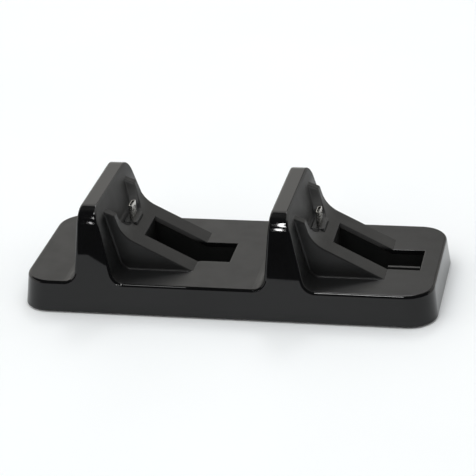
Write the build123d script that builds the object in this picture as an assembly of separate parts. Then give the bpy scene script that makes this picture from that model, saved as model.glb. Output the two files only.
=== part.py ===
from build123d import *
import os
from math import cos, radians, tan

# A two-station charging dock for game controllers. X runs along the dock, Y from front to back and
# Z up. The origin is on the table under the middle of the base. All lengths are in millimetres.

# Base slab of the top housing
left_margin = 48.75  # left end of the base to the first plug axis, at the lower edge
station_pitch = 92.0  # plug axis to plug axis
right_margin = 59.25  # second plug axis to the right end of the base
base_depth = 80.0  # front to back, at the lower edge
base_height = 14.4  # lower edge to the flat top
end_draft = 6.1  # degrees, both ends lean inwards
front_lean = 10.25  # degrees, one plane from the lower edge to the top of a backrest
corner_radius = 13.4  # upright corners, in plan
rim_radius = 1.4  # rounded edge along the base rim and the backrests
shell_wall = 2.0  # moulded wall

# Backrests, placed from their plug axis
rest_height = 35.1  # above the base top
rest_foot_left = 21.1  # plug axis to the foot of the left face
rest_foot_right = 1.2  # plug axis to the foot of the right face
rest_left_lean = 5.1  # degrees
rest_right_lean = 13.3  # degrees
foot_fillet = 6.0  # hollow curve between backrest and base
crown_radius = 8.8  # rounded top corners, seen from the end

# Wedge-shaped rests
wedge_width = 42.4
wedge_toe = 33.4  # plug axis to the line where the slope meets the base top
slope_angle = 27.6  # degrees
face_lean = 16.0  # degrees, the steep upper face
nose_reach = 3.0  # plug axis back to the nose of the steep face
nose_rise = 27.7  # nose above the base top
ledge_fall = 22.0  # degrees, ledge from the backrest to the nose
wedge_curve = 15.0  # hollow curve between the steep face and the slope
nose_radius = 1.2
wedge_edge = 0.6  # rounded long edges
wedge_root = 1.0  # small hollow curve where the sides meet the base and the backrest

# Plug pocket in the steep face
pocket_width = 33.0
pocket_rise = 17.6  # pocket floor above the base top
pocket_corner = 9.5
pocket_edge = 0.8  # rounded edges of the pocket

# Slot in the slope and the base top, with its well
slot_start = 8.0  # plug axis to the upper end
slot_end = 48.9  # plug axis to the lower end
slot_width = 20.2
slot_edge = 0.4  # rounded upper edges
well_wall = 1.2
well_margin = 0.2  # inner faces of the well behind the edges of the slot
well_gap = 0.3  # well rim below the underside of the housing
rib_inset = 2.2  # guide rib inside a well, from the front edge of the slot
rib_wall = 1.5
rib_clearance = 0.3  # end of the rib short of the end of the slot
rib_drop = {"left": 1.8, "right": 0.1}  # top of the rib below the base top

# Charging plug: micro receptacle size
plug_width = 6.85
plug_thickness = 1.8
plug_chamfer = 0.7
plug_metal = 0.25
plug_reach = 7.5  # steel above the pocket floor
plug_seat = 4.5  # steel inside the holder
plug_fit = 0.05
tongue_width = 4.6
tongue_thickness = 0.7
tongue_setback = 0.6  # tongue tip below the steel tip
tongue_root = 3.0
contact_count = 5
contact_pitch = 0.65
contact_width = 0.3
contact_thickness = 0.12
contact_length = 4.0
latch_width = 0.9
latch_length = 1.5
latch_height = 0.3
latch_spacing = 3.6
latch_setback = 2.0  # latch below the steel tip

# Plug holder and the small board that carries it
holder_width = 12.6
holder_thickness = 6.4
holder_corner = 1.0
holder_edge = 0.4
holder_proud = 0.3  # above the pocket floor
holder_gap = 0.25
plug_boss_length = 5.0
plug_boss_diameter = 4.6
plug_boss_spacing = 21.0
plug_board_length = 28.0
plug_board_depth = 9.0
board_thickness = 1.2

# Bottom cover, screws and feet
foot_height = 1.0  # rubber below the lower edge of the housing
foot_diameter = 11.0
foot_seat = 0.6  # depth of the foot's recess
foot_edge = 0.5
foot_inset = 12.0  # foot axis from the lower edge of the housing
cover_recess = 0.4
cover_thickness = 1.8
cover_clearance = 0.3
screw_diameter = 2.6
screw_length = 7.0
screw_head_diameter = 5.0
screw_head_height = 1.0
screw_head_seat = 0.8
screw_clearance = 0.2
screw_recess = 0.5  # depth of the cross in a head
screw_recess_width = 0.6
screw_recess_share = 0.6  # span of the cross over the diameter of the head
screw_head_edge = 0.3
boss_diameter = 6.6
boss_inset = 11.0  # boss axis from the front or rear lower edge
left_boss_inset = 14.0  # left pair of bosses, from the left end
left_boss_spacing = 24.0
rear_boss_reach = 15.0  # bosses beside each wedge, right of the plug axis
fence_height = 2.0
fence_wall = 1.0
fence_gap = 0.2

# Main board and the power inlet
post_height = 2.0
post_diameter = 5.0
main_board_length = 44.0
main_board_depth = 19.0
board_gap = 0.5
small_screw_diameter = 1.8
small_screw_length = 3.6
small_head_diameter = 3.4
small_head_height = 0.8
board_screw_spacing = 34.0
board_screw_inset = 6.5  # from the rear edge of the board
inlet_width = 7.5
inlet_height = 2.6
inlet_depth = 5.2
inlet_metal = 0.3
inlet_corner = 0.45
inlet_setback = 1.0  # inlet mouth behind the rear face
inlet_margin = 0.55  # housing opening round the inlet
inlet_tongue_width = 4.0
inlet_tongue_thickness = 0.6
inlet_tongue_setback = 0.8
inlet_root = 1.2
chip_length = 5.0
chip_width = 4.0
chip_height = 1.5
chip_spacing = 18.0
capacitor_diameter = 5.0
capacitor_height = 5.4
capacitor_edge = 0.3
header_length = 6.0
header_depth = 5.0
header_height = 4.4
header_inset = 0.4
wire_diameter = 2.0
wire_bend = 4.0
wire_offset = 2.5  # wires right of the plug axis
wire_side = 8.0  # wires behind the plug axis

# Levels and reference lines
base_length = left_margin + station_pitch + right_margin
lower_edge = foot_height
base_top = lower_edge + base_height
crown_top = base_top + rest_height
cover_bottom = lower_edge + cover_recess
cover_top = cover_bottom + cover_thickness
board_bottom = cover_top + post_height
board_top = board_bottom + board_thickness
pocket_floor = base_top + pocket_rise
holder_top = pocket_floor + holder_proud
plug_tip = pocket_floor + plug_reach
plug_root = holder_top - plug_seat
plug_board_top = pocket_floor - shell_wall - plug_boss_length
first_axis = left_margin - base_length / 2
stations = {"left": first_axis, "right": first_axis + station_pitch}
sides = (-1, 1)
near = 0.01  # two places closer than this are one


def half_length(z):
    return base_length / 2 - (z - lower_edge) * tan(radians(end_draft))


def half_depth(z):
    return base_depth / 2 - (z - lower_edge) * tan(radians(front_lean))


def inner_half_length(z):
    return half_length(z) - shell_wall / cos(radians(end_draft))


def inner_half_depth(z):
    return half_depth(z) - shell_wall / cos(radians(front_lean))


def upright_box(x_range, y_range, z_range):
    corners = [(low + high) / 2 for low, high in (x_range, y_range, z_range)]
    spans = [high - low for low, high in (x_range, y_range, z_range)]
    return Pos(*corners) * Box(*spans)


def upright_rod(x, y, bottom, top, diameter):
    return Pos(x, y, (bottom + top) / 2) * Cylinder(diameter / 2, top - bottom)


def save(name, shape):
    export_step(shape, f"parts/{name}.step")


# Housing body: a skyline seen from the front, cut by a tapered outline seen from the end


def skyline(bottom):
    points = [(-half_length(bottom), bottom), (-half_length(base_top), base_top)]
    for axis in stations.values():
        foot_left = axis - rest_foot_left
        foot_right = axis - rest_foot_right
        points.append((foot_left, base_top))
        points.append((foot_left + rest_height * tan(radians(rest_left_lean)), crown_top))
        points.append((foot_right - rest_height * tan(radians(rest_right_lean)), crown_top))
        points.append((foot_right, base_top))
    points.append((half_length(base_top), base_top))
    points.append((half_length(bottom), bottom))
    face = make_face(Polyline(*points, close=True))
    feet = [v for v in face.vertices() if abs(v.Y - base_top) < near]
    return fillet(feet_between_ends(feet), foot_fillet)


def feet_between_ends(vertices):
    return sorted(vertices, key=lambda vertex: vertex.X)[1:-1]


def end_outline(bottom):
    low, high = half_depth(bottom), half_depth(crown_top)
    corners = [(-low, bottom), (-high, crown_top), (high, crown_top), (low, bottom)]
    face = make_face(Polyline(*corners, close=True))
    return fillet(face.vertices().sort_by(Axis.Y)[-2:], crown_radius)


def body(bottom, inset):
    front, end = skyline(bottom), end_outline(bottom)
    if inset:
        front = offset(front, -inset, kind=Kind.INTERSECTION)
        end = offset(end, -inset, kind=Kind.INTERSECTION)
    block = extrude(Plane.XZ * front, base_depth, both=True)
    block &= extrude(Plane.YZ * end, base_length, both=True)
    uprights = [e for e in block.edges() if is_base_corner(e, inset)]
    return fillet(uprights, corner_radius - inset)


def is_base_corner(edge, inset):
    middle = edge.center()
    at_end = abs(middle.X) > inner_half_length(base_top) - inset
    at_side = abs(middle.Y) > inner_half_depth(base_top) - inset
    return at_end and at_side and edge.bounding_box().size.Z > base_height / 2


def is_rim(edge):
    box = edge.bounding_box()
    if box.min.Z < lower_edge + near:
        return False
    lies_along_x = box.size.Y < near and box.size.Z < near
    lies_along_y = box.size.X < near and box.size.Z < near
    if lies_along_x:
        return box.max.Z < base_top + near
    if lies_along_y:
        at_crown = box.min.Z > crown_top - near
        at_end = abs(box.min.X) > half_length(base_top) - near
        return at_crown or at_end
    return True


# Wedge-shaped rest: one profile seen from the front, with the plug pocket cut from its steep face


def slope_rise(x):
    return (wedge_toe - x) * tan(radians(slope_angle))


def wedge_profile():
    sink = 3 * shell_wall
    root_x = -rest_foot_right - nose_rise * tan(radians(rest_right_lean)) - 2 * shell_wall
    slope = tan(radians(slope_angle))
    steep = tan(radians(face_lean))
    hollow_rise = slope * (wedge_toe + nose_reach - nose_rise * steep) / (1 - slope * steep)
    hollow_x = -nose_reach + (nose_rise - hollow_rise) * steep
    ledge_root = nose_rise + (-nose_reach - root_x) * tan(radians(ledge_fall))
    points = [
        (root_x, ledge_root),
        (-nose_reach, nose_rise),
        (hollow_x, hollow_rise),
        (wedge_toe + sink / slope, -sink),
        (root_x, -sink),
    ]
    face = make_face(Polyline(*points, close=True))
    hollow = face.vertices().sort_by_distance((hollow_x, hollow_rise))[0]
    face = fillet(hollow, wedge_curve)
    nose = face.vertices().sort_by_distance((-nose_reach, nose_rise))[0]
    return fillet(nose, nose_radius)


def pocket_outline(grow):
    top = 2 * rest_height
    height = top - pocket_rise + grow
    outline = Pos(0, top - height / 2) * Rectangle(pocket_width + 2 * grow, height)
    lower = outline.vertices().sort_by(Axis.Y)[:2]
    return fillet(lower, pocket_corner + grow)


def wedge(axis, inset):
    profile = wedge_profile()
    if inset:
        profile = offset(profile, -inset, kind=Kind.INTERSECTION)
    prism = extrude(Plane.XZ * profile, wedge_width / 2 - inset, both=True)
    if not inset:
        long_edges = [e for e in prism.edges() if is_wedge_edge(e)]
        prism = fillet(long_edges, wedge_edge)
    pocket = extrude(Plane.YZ * pocket_outline(inset), 3 * wedge_toe, both=True)
    prism -= pocket
    if not inset:
        rim = [e for e in prism.edges() if is_pocket_rim(e, pocket)]
        prism = fillet(rim, pocket_edge)
    return Pos(axis, 0, base_top) * prism


def is_pocket_rim(edge, pocket):
    behind_backrest = edge.bounding_box().max.X < -rest_foot_left / 2
    return not behind_backrest and pocket.distance_to(edge @ 0.5) < near


def is_wedge_edge(edge):
    box = edge.bounding_box()
    on_side = box.size.Y < near
    upright = box.size.X < near
    return on_side and not upright and edge.center().Z > 0


def is_wedge_side(edge, axis):
    box = edge.bounding_box()
    on_side = box.size.Y < near and abs(abs(box.min.Y) - wedge_width / 2) < near
    return on_side and axis - rest_foot_left < edge.center().X < axis + wedge_toe


def add_wedge(shell, axis):
    joined = shell + wedge(axis, 0)
    outline = [e for e in joined.edges() if is_wedge_side(e, axis)]
    roots = [e for e in outline if shell.distance_to(e @ 0.5) < near]
    return fillet(roots, wedge_root)


# Places that two or more pieces share


def cover_screw_places():
    left = -base_length / 2 + left_boss_inset
    places = [(left, side * left_boss_spacing / 2) for side in sides]
    row = base_depth / 2 - boss_inset
    for axis in stations.values():
        places += [(axis + rear_boss_reach, side * row) for side in sides]
    return places


def foot_places():
    x, y = base_length / 2 - foot_inset, base_depth / 2 - foot_inset
    return {
        ("front", "left"): (-x, -y),
        ("front", "right"): (x, -y),
        ("rear", "left"): (-x, y),
        ("rear", "right"): (x, y),
    }


def board_rear():
    return inner_half_depth(board_top) - board_gap


def board_front():
    return board_rear() - main_board_depth


def board_screw_places():
    return [(side * board_screw_spacing / 2, board_rear() - board_screw_inset) for side in sides]


def plug_boss_places(axis):
    return [(axis, side * plug_boss_spacing / 2) for side in sides]


def inlet_mouth():
    return half_depth(board_top + inlet_height / 2) - inlet_setback


# Top housing


def top_housing():
    shell = body(lower_edge, 0)
    shell = fillet([e for e in shell.edges() if is_rim(e)], rim_radius)
    for axis in stations.values():
        shell = add_wedge(shell, axis)
    cavity = body(lower_edge - 2 * shell_wall, shell_wall)
    for axis in stations.values():
        cavity += wedge(axis, shell_wall)
    shell -= cavity
    for axis in stations.values():
        slot_x = (axis + slot_start, axis + slot_end)
        slot_y = (-slot_width / 2, slot_width / 2)
        shell -= upright_box(slot_x, slot_y, (cover_top, crown_top))
        shell = fillet([e for e in shell.edges() if is_slot_rim(e, axis)], slot_edge)
        shell -= plug_opening(axis)
    shell -= inlet_opening()
    for x, y in cover_screw_places():
        shell += upright_rod(x, y, cover_top, base_top - shell_wall / 2, boss_diameter)
    for axis in stations.values():
        for x, y in plug_boss_places(axis):
            shell += upright_rod(x, y, plug_board_top, pocket_floor - shell_wall / 2, plug_boss_diameter)
    for x, y in cover_screw_places():
        pilot_top = min(cover_bottom + screw_length + screw_clearance, base_top - shell_wall / 2)
        shell -= upright_rod(x, y, cover_bottom, pilot_top, screw_diameter + screw_clearance)
    for axis in stations.values():
        for x, y in plug_boss_places(axis):
            pilot = small_screw_diameter + screw_clearance
            pilot_top = plug_board_top + small_screw_length
            shell -= upright_rod(x, y, plug_board_top - board_thickness, pilot_top, pilot)
    return shell


def is_slot_rim(edge, axis):
    middle = edge.center()
    reach = middle.X - axis
    in_length = slot_start - near < reach < slot_end + near
    in_width = abs(middle.Y) < slot_width / 2 + near
    surface = base_top + max(slope_rise(reach), 0)
    return in_length and in_width and abs(middle.Z - surface) < near


def plug_opening(axis):
    outline = RectangleRounded(
        holder_thickness + 2 * holder_gap, holder_width + 2 * holder_gap, holder_corner + holder_gap
    )
    return Pos(axis, 0, plug_board_top) * extrude(outline, crown_top - plug_board_top)


def inlet_opening():
    width, height = inlet_width + 2 * inlet_margin, inlet_height + 2 * inlet_margin
    outline = RectangleRounded(width, height, 2 * inlet_margin)
    middle = board_top + inlet_height / 2
    start = inner_half_depth(lower_edge) - 3 * shell_wall
    return Pos(0, start, middle) * extrude(Plane.XZ * outline, -base_depth / 2)


# Bottom cover


def bottom_cover():
    length = 2 * (inner_half_length(cover_top) - cover_clearance)
    depth = 2 * (inner_half_depth(cover_top) - cover_clearance)
    outline = RectangleRounded(length, depth, corner_radius - shell_wall)
    cover = Pos(0, 0, cover_bottom) * extrude(outline, cover_thickness)
    for axis in stations.values():
        cover += well_fence(axis)
    posts = board_screw_places() + [(0, board_front() + post_diameter)]
    for x, y in posts:
        cover += upright_rod(x, y, cover_top, board_bottom, post_diameter)
    for x, y in board_screw_places():
        pilot = small_screw_diameter + screw_clearance
        cover -= upright_rod(x, y, board_top - small_screw_length, board_bottom, pilot)
    for x, y in cover_screw_places():
        cover -= upright_rod(x, y, cover_bottom, cover_top, screw_diameter + 2 * screw_clearance)
        head_recess = screw_head_diameter + 2 * screw_clearance
        cover -= upright_rod(x, y, cover_bottom, cover_bottom + screw_head_seat, head_recess)
    for x, y in foot_places().values():
        cover -= upright_rod(x, y, cover_bottom, cover_bottom + foot_seat, foot_diameter + screw_clearance)
    return cover


def well_fence(axis):
    reach = fence_gap + fence_wall
    x_range = well_x_range(axis)
    y_half = well_half_width()
    z_range = (cover_top, cover_top + fence_height)
    boxes = []
    for grow in (reach, fence_gap):
        across = (x_range[0] - grow, x_range[1] + grow)
        boxes.append(upright_box(across, (-y_half - grow, y_half + grow), z_range))
    return boxes[0] - boxes[1]


# Slot wells


def well_x_range(axis):
    reach = well_margin + well_wall
    return axis + slot_start - reach, axis + slot_end + reach


def well_half_width():
    return slot_width / 2 + well_margin + well_wall


def well_rim(axis):
    left, right = well_x_range(axis)
    drop = shell_wall + well_gap
    slope_drop = drop / cos(radians(slope_angle))
    valley = axis + wedge_toe - (slope_drop - drop) / tan(radians(slope_angle))
    left_level = base_top + slope_rise(left - axis) - slope_drop
    return [(left, left_level), (valley, base_top - drop), (right, base_top - drop)]


def slot_well(axis, drop):
    left, right = well_x_range(axis)
    side = make_face(Polyline((left, cover_top), *well_rim(axis), (right, cover_top), close=True))
    tub = extrude(Plane.XZ * side, well_half_width(), both=True)
    inner_half = well_half_width() - well_wall
    hollow = upright_box(
        (left + well_wall, right - well_wall), (-inner_half, inner_half), (cover_top + well_wall, crown_top)
    )
    return tub - hollow + guide_rib(axis, drop)


def guide_rib(axis, drop):
    front = rib_inset - slot_width / 2
    x_range = (axis + wedge_toe, axis + slot_end - rib_clearance)
    return upright_box(x_range, (front, front + rib_wall), (cover_top + well_wall / 2, base_top - drop))


# Charging plugs


def plug_section(shrink):
    half_width = plug_width / 2 - shrink
    half = plug_thickness / 2 - shrink
    points = [
        (half, -half_width),
        (half, half_width),
        (-half + plug_chamfer, half_width),
        (-half, half_width - plug_chamfer),
        (-half, -half_width + plug_chamfer),
        (-half + plug_chamfer, -half_width),
    ]
    return make_face(Polyline(*points, close=True))


def plug_shell(axis):
    length = plug_tip - plug_root
    shell = extrude(plug_section(0), length) - extrude(plug_section(plug_metal), length)
    latch_z = length - latch_setback
    for side in sides:
        ramp = make_face(
            Polyline((0, latch_z - latch_length), (latch_height, latch_z), (0, latch_z), close=True)
        )
        latch = extrude(Plane.XZ * ramp, latch_width / 2, both=True)
        shell += Pos(plug_thickness / 2, side * latch_spacing / 2, 0) * latch
    return Pos(axis, 0, plug_root) * shell


def plug_tongue(axis):
    length = plug_tip - plug_root - tongue_setback
    blade = upright_box(
        (-tongue_thickness / 2, tongue_thickness / 2), (-tongue_width / 2, tongue_width / 2), (0, length)
    )
    root = extrude(plug_section(plug_metal + plug_fit), tongue_root)
    return Pos(axis, 0, plug_root) * (blade + root)


def contact_rows():
    return [(index - (contact_count - 1) / 2) * contact_pitch for index in range(contact_count)]


def plug_contacts(axis):
    top = plug_tip - 2 * tongue_setback
    face = axis + tongue_thickness / 2
    strips = []
    for row in contact_rows():
        y_range = (row - contact_width / 2, row + contact_width / 2)
        strips.append(upright_box((face, face + contact_thickness), y_range, (top - contact_length, top)))
    return Compound(strips)


def plug_holder(axis):
    outline = RectangleRounded(holder_thickness, holder_width, holder_corner)
    height = holder_top - plug_board_top
    block = extrude(outline, height)
    block = fillet(block.edges().group_by(Axis.Z)[-1], holder_edge)
    seat = extrude(plug_section(-plug_fit), plug_seat)
    return Pos(axis, 0, plug_board_top) * (block - Pos(0, 0, height - plug_seat) * seat)


def plug_board(axis):
    board = Box(plug_board_depth, plug_board_length, board_thickness)
    board = Pos(axis, 0, plug_board_top - board_thickness / 2) * board
    for x, y in plug_boss_places(axis):
        hole = small_screw_diameter + 2 * screw_clearance
        board -= upright_rod(x, y, plug_board_top - board_thickness, plug_board_top, hole)
    return board


# Screws: pan head with a cross, shank upwards or downwards from the face it clamps


def screw(shank_diameter, shank_length, head_diameter, head_height):
    shank = Pos(0, 0, shank_length / 2) * Cylinder(shank_diameter / 2, shank_length)
    head = Pos(0, 0, -head_height / 2) * Cylinder(head_diameter / 2, head_height)
    head = chamfer(head.edges().group_by(Axis.Z)[0], screw_head_edge)
    span = head_diameter * screw_recess_share
    cross = Box(span, screw_recess_width, screw_recess) + Box(screw_recess_width, span, screw_recess)
    return shank + head - Pos(0, 0, screw_recess / 2 - head_height) * cross


def cover_screws():
    made = screw(screw_diameter, screw_length - screw_head_seat, screw_head_diameter, screw_head_height)
    return Compound([Pos(x, y, cover_bottom + screw_head_seat) * made for x, y in cover_screw_places()])


def small_screw():
    return screw(small_screw_diameter, small_screw_length, small_head_diameter, small_head_height)


def board_screws():
    down = Rot(180, 0, 0) * small_screw()
    return Compound([Pos(x, y, board_top) * down for x, y in board_screw_places()])


def plug_board_screws(axis):
    seat = plug_board_top - board_thickness
    return Compound([Pos(x, y, seat) * small_screw() for x, y in plug_boss_places(axis)])


# Rubber feet


def foot(x, y):
    pad = upright_rod(x, y, 0, cover_bottom + foot_seat, foot_diameter)
    return chamfer(pad.edges().group_by(Axis.Z)[0], foot_edge)


# Main board and what it carries


def main_board():
    half = main_board_length / 2
    board = upright_box((-half, half), (board_front(), board_rear()), (board_bottom, board_top))
    for x, y in board_screw_places():
        board -= upright_rod(x, y, board_bottom, board_top, small_screw_diameter + 2 * screw_clearance)
    return board


def charge_chip(side):
    middle = (board_front() + board_rear()) / 2
    place = Pos(side * chip_spacing / 2, middle, board_top + chip_height / 2)
    return place * Box(chip_length, chip_width, chip_height)


def capacitor():
    middle = (board_front() + board_rear()) / 2
    can = upright_rod(0, middle, board_top, board_top + capacitor_height, capacitor_diameter)
    return fillet(can.edges().group_by(Axis.Z)[-1], capacitor_edge)


def header_places(side):
    x = side * (main_board_length / 2 - header_inset - header_length / 2)
    y = board_front() + header_inset + header_depth / 2
    return x, y, board_top + header_height / 2


def wire_header(side):
    return Pos(*header_places(side)) * Box(header_length, header_depth, header_height)


def plug_wires(axis, side):
    x, y, z = header_places(side)
    start_x = axis + wire_offset
    path = FilletPolyline(
        (start_x, wire_side, plug_board_top - board_thickness),
        (start_x, wire_side, z),
        (start_x, y, z),
        (x + side * header_length / 2, y, z),
        radius=wire_bend,
    )
    start = Plane(path @ 0, z_dir=path % 0)
    return sweep(start * Circle(wire_diameter / 2), path)


# Power inlet in the rear wall


def inlet_section(shrink):
    width, height = inlet_width - 2 * shrink, inlet_height - 2 * shrink
    return Plane.XZ * RectangleRounded(width, height, inlet_corner - shrink)


def inlet_shell():
    start = inlet_mouth() - inlet_depth
    can = extrude(inlet_section(0), -inlet_depth)
    hollow = Pos(0, inlet_metal, 0) * extrude(inlet_section(inlet_metal), -inlet_depth)
    return Pos(0, start, board_top + inlet_height / 2) * (can - hollow)


def inlet_tongue():
    back = inlet_mouth() - inlet_depth + inlet_metal
    middle = board_top + inlet_height / 2
    half = inlet_tongue_thickness / 2
    blade = upright_box(
        (-inlet_tongue_width / 2, inlet_tongue_width / 2),
        (back, inlet_mouth() - inlet_tongue_setback),
        (middle - half, middle + half),
    )
    root = Pos(0, back, middle) * extrude(inlet_section(inlet_metal + plug_fit), -inlet_root)
    return blade + root


def inlet_contacts():
    front = inlet_mouth() - 2 * inlet_tongue_setback
    back = inlet_mouth() - inlet_depth + inlet_metal + inlet_root
    under = board_top + inlet_height / 2 - inlet_tongue_thickness / 2
    strips = []
    for row in contact_rows():
        x_range = (row - contact_width / 2, row + contact_width / 2)
        strips.append(upright_box(x_range, (back, front), (under - contact_thickness, under)))
    return Compound(strips)


# Write one file for each piece
os.makedirs("parts", exist_ok=True)
save("top_housing", top_housing())
save("bottom_cover", bottom_cover())
save("cover_screws", cover_screws())
for (row, side_name), (foot_x, foot_y) in foot_places().items():
    save(f"foot_{row}_{side_name}", foot(foot_x, foot_y))
save("main_board", main_board())
save("board_screws", board_screws())
save("capacitor", capacitor())
save("inlet_shell", inlet_shell())
save("inlet_tongue", inlet_tongue())
save("inlet_contacts", inlet_contacts())
for side, (side_name, plug_axis) in zip(sides, stations.items()):
    save(f"slot_well_{side_name}", slot_well(plug_axis, rib_drop[side_name]))
    save(f"plug_shell_{side_name}", plug_shell(plug_axis))
    save(f"plug_tongue_{side_name}", plug_tongue(plug_axis))
    save(f"plug_contacts_{side_name}", plug_contacts(plug_axis))
    save(f"plug_holder_{side_name}", plug_holder(plug_axis))
    save(f"plug_board_{side_name}", plug_board(plug_axis))
    save(f"plug_board_screws_{side_name}", plug_board_screws(plug_axis))
    save(f"plug_wires_{side_name}", plug_wires(plug_axis, side))
    save(f"charge_chip_{side_name}", charge_chip(side))
    save(f"wire_header_{side_name}", wire_header(side))
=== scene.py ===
import bpy
from mathutils import Matrix, Vector


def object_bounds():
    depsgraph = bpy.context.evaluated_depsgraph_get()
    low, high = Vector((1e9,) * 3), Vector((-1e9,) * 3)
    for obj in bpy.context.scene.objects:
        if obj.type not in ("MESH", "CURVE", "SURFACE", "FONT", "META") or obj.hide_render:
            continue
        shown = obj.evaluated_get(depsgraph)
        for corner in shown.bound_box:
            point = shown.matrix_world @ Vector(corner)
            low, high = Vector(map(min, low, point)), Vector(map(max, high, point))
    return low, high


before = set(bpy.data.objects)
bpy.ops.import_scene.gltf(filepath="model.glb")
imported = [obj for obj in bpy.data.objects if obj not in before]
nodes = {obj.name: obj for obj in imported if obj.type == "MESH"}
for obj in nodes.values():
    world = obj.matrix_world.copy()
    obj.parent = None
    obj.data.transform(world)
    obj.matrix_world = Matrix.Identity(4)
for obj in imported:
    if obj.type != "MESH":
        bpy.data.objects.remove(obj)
cad_low, cad_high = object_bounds()


# Top housing
# One injection moulding of black styrene plastic: base, backrests and wedge rests in a single shell.
# The tool was polished for the skirt, the ends and the crowns and left satin for the other faces. The plug
# pockets and the upper right faces of the backrests are matt and painted much lighter as painted light, the
# pocket cheeks painted lighter still.
base_top = 0.0154
crown_top = cad_high[2]
crease_angle = 0.5
noise_low = 0.3
noise_high = 0.7


def empty_material(name):
    made = bpy.data.materials.new(name)
    made.use_nodes = True
    tree = made.node_tree
    shader = tree.nodes["Principled BSDF"]
    place = tree.nodes.new("ShaderNodeTexCoord")
    return made, tree, shader, place.outputs["Object"]


def noise(tree, place, scale, detail=3.0):
    made = tree.nodes.new("ShaderNodeTexNoise")
    made.inputs["Scale"].default_value = scale
    made.inputs["Detail"].default_value = detail
    tree.links.new(place, made.inputs["Vector"])
    return made.outputs["Fac"]


def spread(tree, value, socket, low, high):
    made = tree.nodes.new("ShaderNodeMapRange")
    made.inputs["From Min"].default_value = noise_low
    made.inputs["From Max"].default_value = noise_high
    made.inputs["To Min"].default_value = low
    made.inputs["To Max"].default_value = high
    tree.links.new(value, made.inputs["Value"])
    tree.links.new(made.outputs["Result"], socket)


def tint(tree, value, socket, first, second, start=noise_low, end=noise_high):
    made = tree.nodes.new("ShaderNodeValToRGB")
    made.color_ramp.elements[0].position = start
    made.color_ramp.elements[0].color = (*first, 1.0)
    made.color_ramp.elements[1].position = end
    made.color_ramp.elements[1].color = (*second, 1.0)
    tree.links.new(value, made.inputs["Fac"])
    tree.links.new(made.outputs["Color"], socket)
    return made.color_ramp


def relief(tree, value, shader, depth):
    made = tree.nodes.new("ShaderNodeBump")
    made.inputs["Distance"].default_value = depth
    made.inputs["Strength"].default_value = 1.0
    tree.links.new(value, made.inputs["Height"])
    tree.links.new(made.outputs["Normal"], shader.inputs["Normal"])


def dress(node, material):
    mesh = nodes[node].data
    mesh.materials.clear()
    mesh.materials.append(material)
    mesh.shade_smooth()
    mesh.set_sharp_from_angle(angle=crease_angle)


def ramp(tree, value, start, end):
    made = tree.nodes.new("ShaderNodeMapRange")
    made.inputs["From Min"].default_value = start
    made.inputs["From Max"].default_value = end
    tree.links.new(value, made.inputs["Value"])
    return made.outputs["Result"]


def combine(tree, operation, *values):
    made = tree.nodes.new("ShaderNodeMath")
    made.operation = operation
    for socket, value in zip(made.inputs, values):
        tree.links.new(value, socket)
    return made.outputs["Value"]


def axes(tree, vector):
    made = tree.nodes.new("ShaderNodeSeparateXYZ")
    tree.links.new(vector, made.inputs["Vector"])
    return made.outputs


def polished_places(tree, spot, facing):
    end_start = 0.0235
    low = ramp(tree, spot["Z"], base_top + 0.00005, base_top - 0.00002)
    leaning = ramp(tree, facing["Z"], 0.999, 0.985)
    skirt = combine(tree, "MULTIPLY", low, leaning)
    outer = ramp(tree, combine(tree, "ABSOLUTE", spot["Y"]), end_start, end_start + 0.0020)
    upright = ramp(tree, combine(tree, "ABSOLUTE", facing["Y"]), 0.35, 0.60)
    top = ramp(tree, spot["Z"], crown_top - 0.0012, crown_top - 0.0004)
    lengthwise = ramp(tree, combine(tree, "ABSOLUTE", facing["X"]), 0.45, 0.20)
    crown = combine(tree, "MULTIPLY", top, lengthwise)
    sides = combine(tree, "MAXIMUM", skirt, combine(tree, "MULTIPLY", outer, upright))
    return sides, combine(tree, "MAXIMUM", sides, crown)


# Masks for the matt finish, which also carry the painted lighter colour (painted light) of these places.
def matt_and_painted_light_places(tree, spot, facing):
    cheek_inside = 0.0185
    plug_top = 0.0300
    wedge_top = 0.0425
    inward = ramp(tree, combine(tree, "MULTIPLY", spot["Y"], facing["Y"]), -0.006, -0.012)
    above_base = ramp(tree, spot["Z"], base_top + 0.0004, base_top + 0.0021)
    cheeks = combine(tree, "MULTIPLY", inward, above_base)
    steep = ramp(tree, facing["X"], 0.55, 0.80)
    between = ramp(tree, combine(tree, "ABSOLUTE", spot["Y"]), cheek_inside, cheek_inside - 0.0035)
    over_plug = ramp(tree, spot["Z"], plug_top, plug_top + 0.0040)
    above_plug = combine(tree, "MULTIPLY", between, over_plug)
    above_wedge = ramp(tree, spot["Z"], wedge_top, wedge_top + 0.0030)
    face = combine(tree, "MULTIPLY", steep, combine(tree, "MAXIMUM", above_plug, above_wedge))
    near_top = ramp(tree, spot["Z"], crown_top - 0.0030, crown_top - 0.0018)
    edge = combine(tree, "MULTIPLY", near_top, ramp(tree, facing["X"], 0.15, 0.45))
    return cheeks, combine(tree, "MAXIMUM", face, edge)


def layer(tree, mask, kind):
    made = tree.nodes.new("ShaderNodeMix")
    made.data_type = kind
    tree.links.new(mask, made.inputs["Factor"])
    under, over, mixed = {"FLOAT": (2, 3, 0), "RGBA": (6, 7, 2)}[kind]
    return made.inputs[under], made.inputs[over], made.outputs[mixed]


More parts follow.
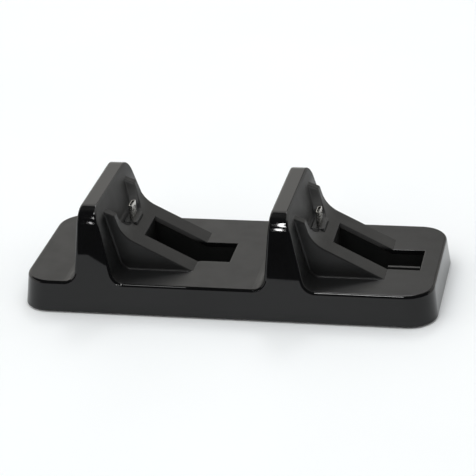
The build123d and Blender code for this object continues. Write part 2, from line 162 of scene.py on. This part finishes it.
def housing_finish(name):
    made, tree, shader, place = empty_material(name)
    spot = axes(tree, place)
    facing = axes(tree, tree.nodes.new("ShaderNodeNewGeometry").outputs["Normal"])
    sides, polish = polished_places(tree, spot, facing)
    cheeks, back = matt_and_painted_light_places(tree, spot, facing)
    matt = combine(tree, "MAXIMUM", cheeks, back)
    dust = noise(tree, place, 45.0)
    satin_colour, polished_colour, outside_colour = layer(tree, sides, "RGBA")
    plain_colour, painted_light_back_colour, open_colour = layer(tree, back, "RGBA")
    between_colour, painted_light_cheek_colour, colour = layer(tree, cheeks, "RGBA")
    tint(tree, dust, satin_colour, (0.0085, 0.0087, 0.0090), (0.0115, 0.0117, 0.0120))
    tint(tree, dust, polished_colour, (0.0034, 0.0035, 0.0038), (0.0048, 0.0049, 0.0053))
    # Painted light: the matt backrest faces, pockets and top right edges are painted far lighter than the
    # satin plastic.
    tint(tree, dust, painted_light_back_colour, (0.0420, 0.0422, 0.0425), (0.0500, 0.0502, 0.0505))
    # Painted light: the pocket cheeks are painted lighter still than the matt backrest faces.
    tint(tree, dust, painted_light_cheek_colour, (0.0600, 0.0602, 0.0605), (0.0700, 0.0702, 0.0705))
    tree.links.new(outside_colour, plain_colour)
    tree.links.new(open_colour, between_colour)
    tree.links.new(colour, shader.inputs["Base Color"])
    haze = noise(tree, place, 110.0, 5.0)
    satin_rough, polished_rough, outside_rough = layer(tree, polish, "FLOAT")
    plain_rough, matt_rough, rough = layer(tree, matt, "FLOAT")
    spread(tree, haze, satin_rough, 0.36, 0.44)
    spread(tree, haze, polished_rough, 0.020, 0.032)
    spread(tree, haze, matt_rough, 0.56, 0.64)
    tree.links.new(outside_rough, plain_rough)
    tree.links.new(rough, shader.inputs["Roughness"])
    shader.inputs["Specular IOR Level"].default_value = 0.40
    shader.inputs["IOR"].default_value = 1.46
    relief(tree, noise(tree, place, 420.0, 1.0), shader, 0.0000005)
    return made


dress("top_housing", housing_finish("housing_black"))


# Slot wells
# Two black trays of the same plastic with a satin finish, standing on the bottom cover inside the slots.
# The right one has a guide rib that comes up flush with the base.
def satin_plastic(name, first, second, rough_low, rough_high, ripple):
    made, tree, shader, place = empty_material(name)
    tint(tree, noise(tree, place, 45.0), shader.inputs["Base Color"], first, second)
    spread(tree, noise(tree, place, 110.0, 5.0), shader.inputs["Roughness"], rough_low, rough_high)
    relief(tree, noise(tree, place, 420.0, 1.0), shader, ripple)
    shader.inputs["IOR"].default_value = 1.5
    return made


satin_black = satin_plastic(
    "satin_black", (0.0070, 0.0075, 0.0075), (0.0095, 0.0100, 0.0100), 0.34, 0.46, 0.000010
)
for side in ("left", "right"):
    dress(f"slot_well_{side}", satin_black)


# Plug holders
# Black blocks moulded around the charging plugs, of the same satin plastic as the wells.
# Screws through the small boards hold them under the pockets.
for side in ("left", "right"):
    dress(f"plug_holder_{side}", satin_black)


# Charging plugs
# Drawn steel shells with bright nickel plating, a black moulded tongue inside and gold plated contacts.
# Faint drawing lines run along the shell, and the plating is slightly uneven.
def bright_metal(name, first, second, rough_low, rough_high, stretch):
    made, tree, shader, place = empty_material(name)
    lines = tree.nodes.new("ShaderNodeMapping")
    lines.inputs["Scale"].default_value = stretch
    tree.links.new(place, lines.inputs["Vector"])
    drawn = noise(tree, lines.outputs["Vector"], 900.0, 4.0)
    tint(tree, noise(tree, place, 300.0), shader.inputs["Base Color"], first, second)
    spread(tree, drawn, shader.inputs["Roughness"], rough_low, rough_high)
    relief(tree, drawn, shader, 0.000004)
    shader.inputs["Metallic"].default_value = 1.0
    return made


along_shell = (1.0, 1.0, 0.08)
all_ways = (1.0, 1.0, 1.0)
nickel = bright_metal("nickel", (0.46, 0.45, 0.43), (0.56, 0.55, 0.52), 0.16, 0.30, along_shell)
gold = bright_metal("gold", (0.76, 0.56, 0.20), (0.86, 0.66, 0.28), 0.18, 0.30, all_ways)
for side in ("left", "right"):
    dress(f"plug_shell_{side}", nickel)
    dress(f"plug_tongue_{side}", satin_black)
    dress(f"plug_contacts_{side}", gold)


# Bottom cover
# A flat plate moulded in black plastic with a fine spark-eroded texture.
# Six screws from below hold it in the housing.
def textured(name, first, second, rough_low, rough_high, grain, depth):
    made, tree, shader, place = empty_material(name)
    tint(tree, noise(tree, place, 80.0), shader.inputs["Base Color"], first, second)
    spread(tree, noise(tree, place, 260.0, 4.0), shader.inputs["Roughness"], rough_low, rough_high)
    relief(tree, noise(tree, place, grain, 2.0), shader, depth)
    return made


cover_black = textured(
    "cover_black", (0.011, 0.011, 0.012), (0.016, 0.016, 0.017), 0.52, 0.66, 3200.0, 0.00005
)
dress("bottom_cover", cover_black)


# Rubber feet
# Four soft discs of black rubber, dull and slightly dusty.
# They are pressed into recesses of the bottom cover.
foot_rubber = textured(
    "foot_rubber", (0.012, 0.012, 0.012), (0.024, 0.023, 0.022), 0.78, 0.92, 1500.0, 0.00006
)
for row in ("front", "rear"):
    for side in ("left", "right"):
        dress(f"foot_{row}_{side}", foot_rubber)


# Screws
# Cross-head screws of steel, cold headed and rolled, with a dark zinc finish.
# They hold the cover, the main board and the two plug boards to the housing.
dark_zinc = bright_metal("dark_zinc", (0.10, 0.10, 0.11), (0.17, 0.17, 0.18), 0.28, 0.44, all_ways)
for group in ("cover_screws", "board_screws", "plug_board_screws_left", "plug_board_screws_right"):
    dress(group, dark_zinc)


# Circuit boards
# Glass laminate with a green solder mask, one main board and a small board under each plug.
# The mask is a little darker over bare laminate than over copper.
def solder_mask(name):
    made, tree, shader, place = empty_material(name)
    tracks = tree.nodes.new("ShaderNodeTexVoronoi")
    tracks.feature = "DISTANCE_TO_EDGE"
    tracks.inputs["Scale"].default_value = 320.0
    tree.links.new(place, tracks.inputs["Vector"])
    distance = tracks.outputs["Distance"]
    tint(tree, distance, shader.inputs["Base Color"], (0.012, 0.10, 0.045), (0.02, 0.17, 0.075), 0.1, 0.3)
    spread(tree, noise(tree, place, 500.0), shader.inputs["Roughness"], 0.24, 0.36)
    relief(tree, distance, shader, 0.00003)
    return made


mask_green = solder_mask("mask_green")
for board in ("main_board", "plug_board_left", "plug_board_right"):
    dress(board, mask_green)


# Board parts
# Two moulded charging chips, an aluminium capacitor can, and natural nylon headers for the wires.
# All of them are soldered to the main board.
chip_black = textured(
    "chip_black", (0.012, 0.012, 0.013), (0.022, 0.022, 0.023), 0.5, 0.7, 2600.0, 0.00003
)
along_can = (1.0, 1.0, 0.15)
can_metal = bright_metal("can_metal", (0.62, 0.63, 0.65), (0.72, 0.73, 0.75), 0.24, 0.38, along_can)
nylon = textured("nylon", (0.70, 0.68, 0.60), (0.80, 0.78, 0.70), 0.42, 0.56, 1800.0, 0.00002)
dress("capacitor", can_metal)
for side in ("left", "right"):
    dress(f"charge_chip_{side}", chip_black)
    dress(f"wire_header_{side}", nylon)


# Wire harness
# Soft black sleeves with the supply wires of each plug.
# They run from the small boards to the headers on the main board.
sleeve = textured("sleeve", (0.014, 0.014, 0.015), (0.026, 0.026, 0.027), 0.55, 0.7, 2200.0, 0.00004)
for side in ("left", "right"):
    dress(f"plug_wires_{side}", sleeve)


# Power inlet
# A micro receptacle: folded steel shell with nickel plating, black moulded tongue, gold plated contacts.
# It is soldered to the rear edge of the main board and opens through the rear wall.
dress("inlet_shell", nickel)
dress("inlet_tongue", satin_black)
dress("inlet_contacts", gold)


# Floor
# Two sheets of white card that meet in front of the dock and look like one.
# The front sheet is hidden from reflections, so that the tall faces mirror the dark studio.
def card(name, corners, material):
    mesh = bpy.data.meshes.new(name)
    mesh.from_pydata(corners, [], [range(len(corners))])
    made = bpy.data.objects.new(name, mesh)
    bpy.context.scene.collection.objects.link(made)
    mesh.materials.append(material)
    return made


def card_finish(name, first, second, rough):
    made, tree, shader, place = empty_material(name)
    tint(tree, noise(tree, place, 6.0), shader.inputs["Base Color"], first, second)
    shader.inputs["Roughness"].default_value = rough
    return made


white_card = card_finish("white_card", (0.875, 0.895, 0.92), (0.895, 0.915, 0.94), 0.6)
far_side = 4.0
joint = [
    (-far_side, -0.276, 0.0), (-0.138, -0.276, 0.0), (-0.113, -0.228, 0.0), (-0.006, -0.199, 0.0),
    (0.02, -0.194, 0.0), (far_side, -0.194, 0.0),
]
rear_corners = [(far_side, far_side, 0.0), (-far_side, far_side, 0.0)]
front_corners = [(-far_side, -far_side, 0.0), (far_side, -far_side, 0.0)]
card("floor", joint + rear_corners, white_card)
front_floor = card("front_floor", joint[::-1] + front_corners, white_card)
front_floor.visible_glossy = False


# Studio
# Dark cloths in front, overhead and at the right, seen by reflections only, and a broad soft lamp overhead.
# Four strip lamps mirror in the backrests' crowns, two lamps that only reflections see draw the light lines
# on the rim and the wedge feet, a rear lamp lights the far edges, and the walls darken to the right.
dark_cloth = card_finish("dark_cloth", (0.002, 0.002, 0.002), (0.004, 0.004, 0.004), 0.9)
side = 2.2
front = -1.5
bottom = -1.0
top = 1.1
roof_rear = 0.9
wing_rear = 0.2
flag_corners = [(-side, front, bottom), (side, front, bottom), (side, front, top), (-side, front, top)]
roof_corners = [(-side, front, top), (side, front, top), (side, roof_rear, top), (-side, roof_rear, top)]
wing_corners = [(side, front, bottom), (side, wing_rear, bottom), (side, wing_rear, top), (side, front, top)]
for name, corners in (("flag", flag_corners), ("roof", roof_corners), ("wing", wing_corners)):
    cloth = card(name, corners, dark_cloth)
    cloth.visible_camera = False
    cloth.visible_diffuse = False
    cloth.visible_shadow = False


def lamp(name, place, target, size, power):
    light = bpy.data.lights.new(name, "AREA")
    light.shape = "RECTANGLE"
    light.size, light.size_y = size
    light.energy = power
    made = bpy.data.objects.new(name, light)
    bpy.context.scene.collection.objects.link(made)
    made.location = place
    made.rotation_euler = (Vector(target) - Vector(place)).to_track_quat("-Z", "Y").to_euler()
    made.visible_camera = False
    return made


dock_middle = (0.0, 0.0, 0.0)
crown_y = -0.034
crown_z = 0.045
softbox = lamp("softbox", (0.0, 0.1, 1.5), dock_middle, (1.8, 1.8), 9.6)
softbox.data.color = (0.92, 0.965, 1.0)
softbox.visible_glossy = False
for name, place, size, glare in (
    ("upper_lamp", (-0.160, -0.775, 0.688), (0.008, 0.40), 150.0),
    ("lower_lamp", (-0.165, -0.993, 0.253), (0.008, 0.22), 150.0),
    ("upper_side_lamp", (-0.345, -0.743, 0.688), (0.003, 0.40), 70.0),
    ("lower_side_lamp", (-0.3525, -0.968, 0.253), (0.003, 0.22), 70.0),
):
    lamp(name, place, (place[0], crown_y, crown_z), size, glare * size[0] * size[1])
for name, place, size, glare in (
    ("rim_lamp", (-0.085, -0.295, 0.980), (0.10, 0.16), 100.0),
    ("foot_lamp", (-0.298, -0.295, 0.980), (0.07, 0.16), 35.0),
):
    line_lamp = lamp(name, place, (place[0], crown_y, crown_z), size, glare * size[0] * size[1])
    line_lamp.visible_diffuse = False
lamp("rear_lamp", (-0.05, 0.75, 0.90), dock_middle, (0.25, 0.30), 1.3)

world = bpy.data.worlds.new("studio")
world.use_nodes = True
bpy.context.scene.world = world
backdrop = world.node_tree.nodes["Background"]
sky = axes(world.node_tree, world.node_tree.nodes.new("ShaderNodeTexCoord").outputs["Generated"])
across = ramp(world.node_tree, sky["X"], -0.30, 0.25)
bright_wall = (1.0, 0.985, 0.94)
right_wall = (0.68, 0.67, 0.64)
dim_wall = (0.28, 0.275, 0.265)
walls = tint(world.node_tree, across, backdrop.inputs["Color"], bright_wall, right_wall, 0.0, 1.0)
walls.elements.new(0.22).color = (*bright_wall, 1.0)
walls.elements.new(0.36).color = (*dim_wall, 1.0)

bpy.context.scene.view_settings.view_transform = "Standard"


# Camera
# Set where the photograph was taken: 0.9 m away, 26 degrees up, a little to the right and rolled 4 degrees.
# Its place and axes were fitted to the edges of the base and the backrests.
camera_data = bpy.data.cameras.new("camera")
camera_data.sensor_width = 36.0
camera_data.lens = 141.45
camera_data.shift_x = -0.00105
camera_data.shift_y = 0.00105
camera = bpy.data.objects.new("camera", camera_data)
bpy.context.scene.collection.objects.link(camera)
camera_place = (0.191856, -0.789715, 0.420344)
image_right = Vector((0.97668, 0.20589, -0.06088))
image_down = Vector((0.03722, -0.44165, -0.89642))
look = Vector((-0.21145, 0.87325, -0.43901))
turn = Matrix((image_right, -image_down, -look)).transposed()
camera.matrix_world = Matrix.Translation(camera_place) @ turn.to_4x4()
bpy.context.scene.camera = camera
